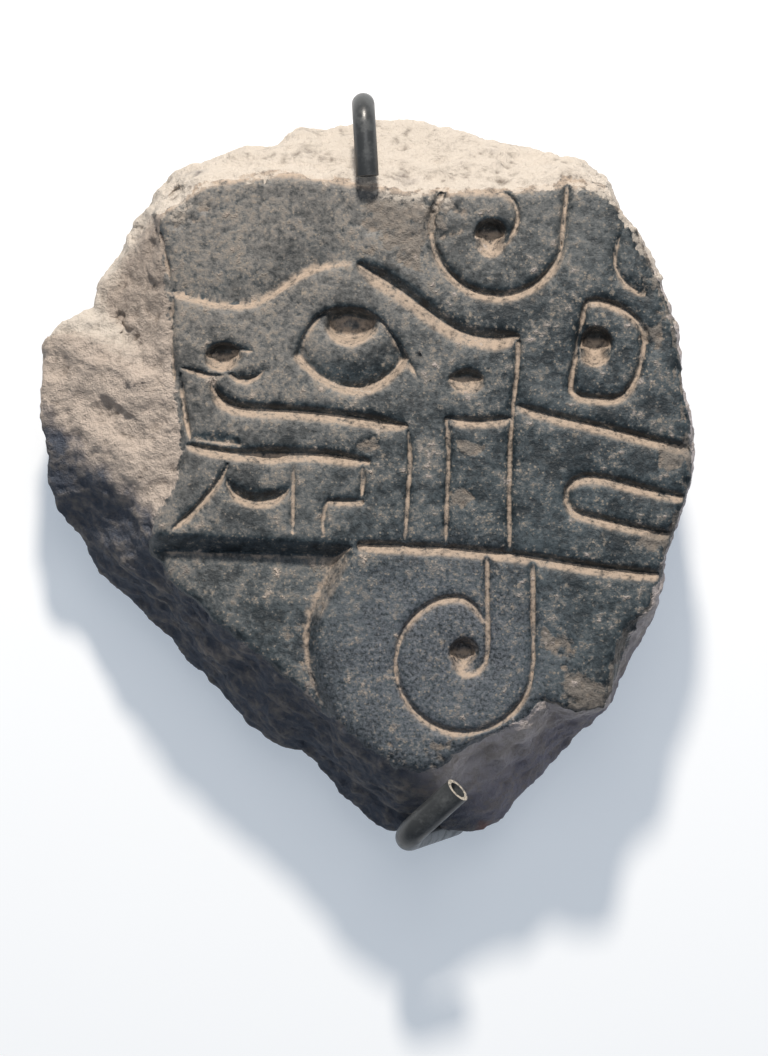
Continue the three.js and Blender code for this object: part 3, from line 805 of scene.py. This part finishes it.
def bent_tube(name, size, finish):
    """A hollow tube: a ring drawn out along its leg, swung round its bend and drawn out to its tip."""
    foot, corner, tip = (CARVING_MIDDLE + Vector(point) for point in size["path"])
    back = (foot - corner).normalized()
    ahead = (tip - corner).normalized()
    half = back.angle(ahead) / 2
    trim = size["bend"] / math.tan(half)
    start = corner + back * trim
    pivot = corner + (back + ahead).normalized() * (size["bend"] / math.sin(half))
    axis = back.cross(ahead).normalized()
    sunk = size["radius"]
    low = foot + back * sunk
    turn = Vector((0, 0, 1)).rotation_difference(-back).to_euler()
    bpy.ops.object.select_all(action="DESELECT")
    ring = {"vertices": finish.sides, "radius": size["radius"], "location": low, "rotation": turn}
    bpy.ops.mesh.primitive_circle_add(**ring)
    obj = bpy.context.active_object
    obj.name = name
    bpy.ops.object.transform_apply(location=True, rotation=True, scale=True)
    bpy.ops.object.mode_set(mode="EDIT")
    bpy.ops.mesh.select_all(action="SELECT")
    bpy.ops.mesh.extrude_region_move(TRANSFORM_OT_translate={"value": start - low})
    bpy.ops.mesh.spin(steps=finish.bend_steps, angle=math.pi - 2 * half, center=pivot, axis=axis)
    bend_end = corner + ahead * trim
    bpy.ops.mesh.extrude_region_move(TRANSFORM_OT_translate={"value": tip - bend_end})
    bpy.ops.mesh.select_all(action="SELECT")
    bpy.ops.mesh.remove_doubles(threshold=WELD)
    bpy.ops.mesh.normals_make_consistent(inside=False)
    bpy.ops.object.mode_set(mode="OBJECT")
    wall = obj.modifiers.new("wall", "SOLIDIFY")
    wall.thickness = size["wall"]
    wall.offset = -1.0
    finish_modifier(obj, wall)
    trim_foot(obj)
    rim = obj.modifiers.new("rim", "BEVEL")
    rim.width = finish.rim
    rim.segments = 2
    rim.limit_method = "ANGLE"
    rim.angle_limit = math.radians(60)
    finish_modifier(obj, rim)
    only(obj)
    bpy.ops.object.shade_smooth_by_angle(angle=math.radians(40))
    return obj, tip, ahead


def trim_foot(obj):
    """Cut the foot off flat on the plane of the back, and close the cut."""
    only(obj)
    bpy.ops.object.mode_set(mode="EDIT")
    bpy.ops.mesh.select_all(action="SELECT")
    bpy.ops.mesh.bisect(plane_co=(0, 0, 0), plane_no=(0, 0, 1), clear_inner=True)
    bpy.ops.object.mode_set(mode="OBJECT")
    for edge in obj.data.edges:
        edge.select = all(abs(obj.data.vertices[i].co.z) < WELD for i in edge.vertices)
    bpy.ops.object.mode_set(mode="EDIT")
    bpy.ops.mesh.select_mode(type="EDGE")
    bpy.ops.mesh.bridge_edge_loops()
    bpy.ops.mesh.select_all(action="SELECT")
    bpy.ops.mesh.normals_make_consistent(inside=False)
    bpy.ops.mesh.select_mode(type="VERT")
    bpy.ops.object.mode_set(mode="OBJECT")


class SLAB_OT_carved_stone(Operator):
    """Weather the carved solid into worn stone with rough breaks"""

    bl_idname = "slab.carved_stone"
    bl_label = "Carved stone"

    def execute(self, context):
        sizes = context.scene.slab_stone_sizes
        stone = solid_copy("stone_slab", "carved_stone")
        worked = worked_surface(stone)
        remesh(stone, sizes.voxel)
        soften_carving(stone, BROAD_ROUNDS, sizes.pillow, BROAD_CREASE)
        soften_carving(stone, EDGE_ROUNDS, sizes.shoulder, sizes.crease)
        mark_facing(stone, "stone_slab")
        mark_breaks(stone, worked)
        deepen(stone)
        # Which way each vertex faces the top of the carving, where the key light stands: the material paints
        # highlight and shade by it
        store(stone.data, "facing_top_and_key_light", vertex_values(stone.data, "normal")[:, 1])
        mark_sides(stone)
        mark_chips(stone)
        weather(stone, sizes)
        settle(stone)
        mark_hollows(stone)
        thin(stone, sizes.triangles)
        remove(worked)
        stone.vertex_groups.clear()
        only(stone)
        bpy.ops.object.shade_smooth()
        stone.data.materials.append(stone_material(context.scene.slab_stone_colours))
        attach(stone, BODY)
        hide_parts("stone_slab")
        return {"FINISHED"}


class SLAB_OT_bent_tubes(Operator):
    """Make the bent tubes that hold the stone"""

    bl_idname = "slab.bent_tubes"
    bl_label = "Bent tubes"

    def execute(self, context):
        finish = context.scene.slab_tube_finish
        sleeve = sleeve_material(finish)
        cut = cut_material(finish)
        for node, size in TUBES.items():
            tube, tip, ahead = bent_tube(f"{node}_tube", size, finish)
            tube.data.materials.append(sleeve)
            tube.data.materials.append(cut)
            for face in tube.data.polygons:
                at_tip = (face.center - tip).dot(ahead) > -finish.rim * 0.6
                face.material_index = int(at_tip and face.normal.dot(ahead) > 0.3)
            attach(tube, BODY)
            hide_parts(node)
        return {"FINISHED"}


class SLAB_OT_stage(Operator):
    """Lay the floor, set the light and place the camera"""

    bl_idname = "slab.stage"
    bl_label = "Stage"

    def execute(self, context):
        light = context.scene.slab_stage_light
        self.lay_floor(light)
        self.set_light(context, light)
        self.place_camera(context, light)
        return {"FINISHED"}

    def lay_floor(self, light):
        """Lay a wide pale floor under the stone."""
        bpy.ops.object.select_all(action="DESELECT")
        bpy.ops.mesh.primitive_plane_add(size=FLOOR_WIDTH, location=(0, 0, -FLOOR_DROP))
        floor = bpy.context.active_object
        floor.name = "floor"
        bpy.ops.object.transform_apply(location=True, rotation=True, scale=True)
        material, _, shader = new_material("pale_floor")
        shader.inputs["Base Color"].default_value = (*light.floor, 1.0)
        shader.inputs["Emission Color"].default_value = (*light.glow, 1.0)
        shader.inputs["Emission Strength"].default_value = 1.0
        shader.inputs["Roughness"].default_value = 0.9
        floor.data.materials.append(material)

    def set_light(self, context, light):
        """Set a warm key past the top of the carving, and cool light all round."""
        key_spot = Vector((0.0, light.key_distance, light.key_height))
        self.add_lamp("key_light", key_spot, light.key_size, light.key_energy, light.key_colour)
        self.add_lamp("soft_panel", PANEL_SPOT, light.panel_size, light.panel_energy, light.panel_colour)
        world = bpy.data.worlds.new("soft_fill")
        world.use_nodes = True
        sky = world.node_tree.nodes["Background"]
        sky.inputs["Color"].default_value = (*light.fill_colour, 1.0)
        sky.inputs["Strength"].default_value = light.fill_strength
        context.scene.world = world
        context.scene.view_settings.view_transform = "Standard"

    def add_lamp(self, name, spot, size, energy, tint):
        """Add a round lamp that looks at the stone."""
        bpy.ops.object.light_add(type="AREA", location=spot)
        lamp = bpy.context.active_object
        lamp.name = name
        lamp.rotation_euler = (-spot).to_track_quat("-Z", "Y").to_euler()
        lamp.data.shape = "DISK"
        lamp.data.size = size
        lamp.data.energy = energy
        lamp.data.color = tint

    def place_camera(self, context, light):
        """Look straight down on the carved face from over its middle."""
        height = FACE_TOP + light.camera_distance
        bpy.ops.object.camera_add(location=(VIEW_MIDDLE.x, VIEW_MIDDLE.y, height), rotation=(0, 0, 0))
        camera = bpy.context.active_object
        camera.name = "camera"
        camera.data.sensor_width = light.sensor
        camera.data.lens = light.sensor * light.camera_distance / (FRAME_HEIGHT * PIXEL)
        camera.data.clip_start = CLIP_START
        context.scene.camera = camera


class SLAB_PT_panel(Panel):
    """Pieces of the carved slab and the sizes and colours behind them"""

    bl_label = "Carved Slab"
    bl_idname = "SLAB_PT_panel"
    bl_space_type = "VIEW_3D"
    bl_region_type = "UI"
    bl_category = "Carved Slab"

    def draw(self, context):
        for operator, settings in PANEL_ROWS:
            box = self.layout.box()
            box.operator(operator)
            for name in settings:
                group = getattr(context.scene, name)
                for key in group.__annotations__:
                    box.prop(group, key)


GROUPS = {
    "slab_stone_sizes": StoneSizes,
    "slab_stone_colours": StoneColours,
    "slab_tube_finish": TubeFinish,
    "slab_stage_light": StageLight,
}
PANEL_ROWS = (
    ("slab.carved_stone", ("slab_stone_sizes", "slab_stone_colours")),
    ("slab.bent_tubes", ("slab_tube_finish",)),
    ("slab.stage", ("slab_stage_light",)),
)
CLASSES = (*GROUPS.values(), SLAB_OT_carved_stone, SLAB_OT_bent_tubes, SLAB_OT_stage, SLAB_PT_panel)


def register():
    """Add the classes and their settings to Blender."""
    for cls in CLASSES:
        bpy.utils.register_class(cls)
    for name, group in GROUPS.items():
        setattr(bpy.types.Scene, name, PointerProperty(type=group))


def unregister():
    """Take the classes and their settings out again."""
    for name in GROUPS:
        delattr(bpy.types.Scene, name)
    for cls in reversed(CLASSES):
        bpy.utils.unregister_class(cls)


def main():
    """Build the part and its stage."""
    register()
    bpy.ops.slab.carved_stone()
    bpy.ops.slab.bent_tubes()
    bpy.ops.slab.stage()


if __name__ == "__main__":
    main()
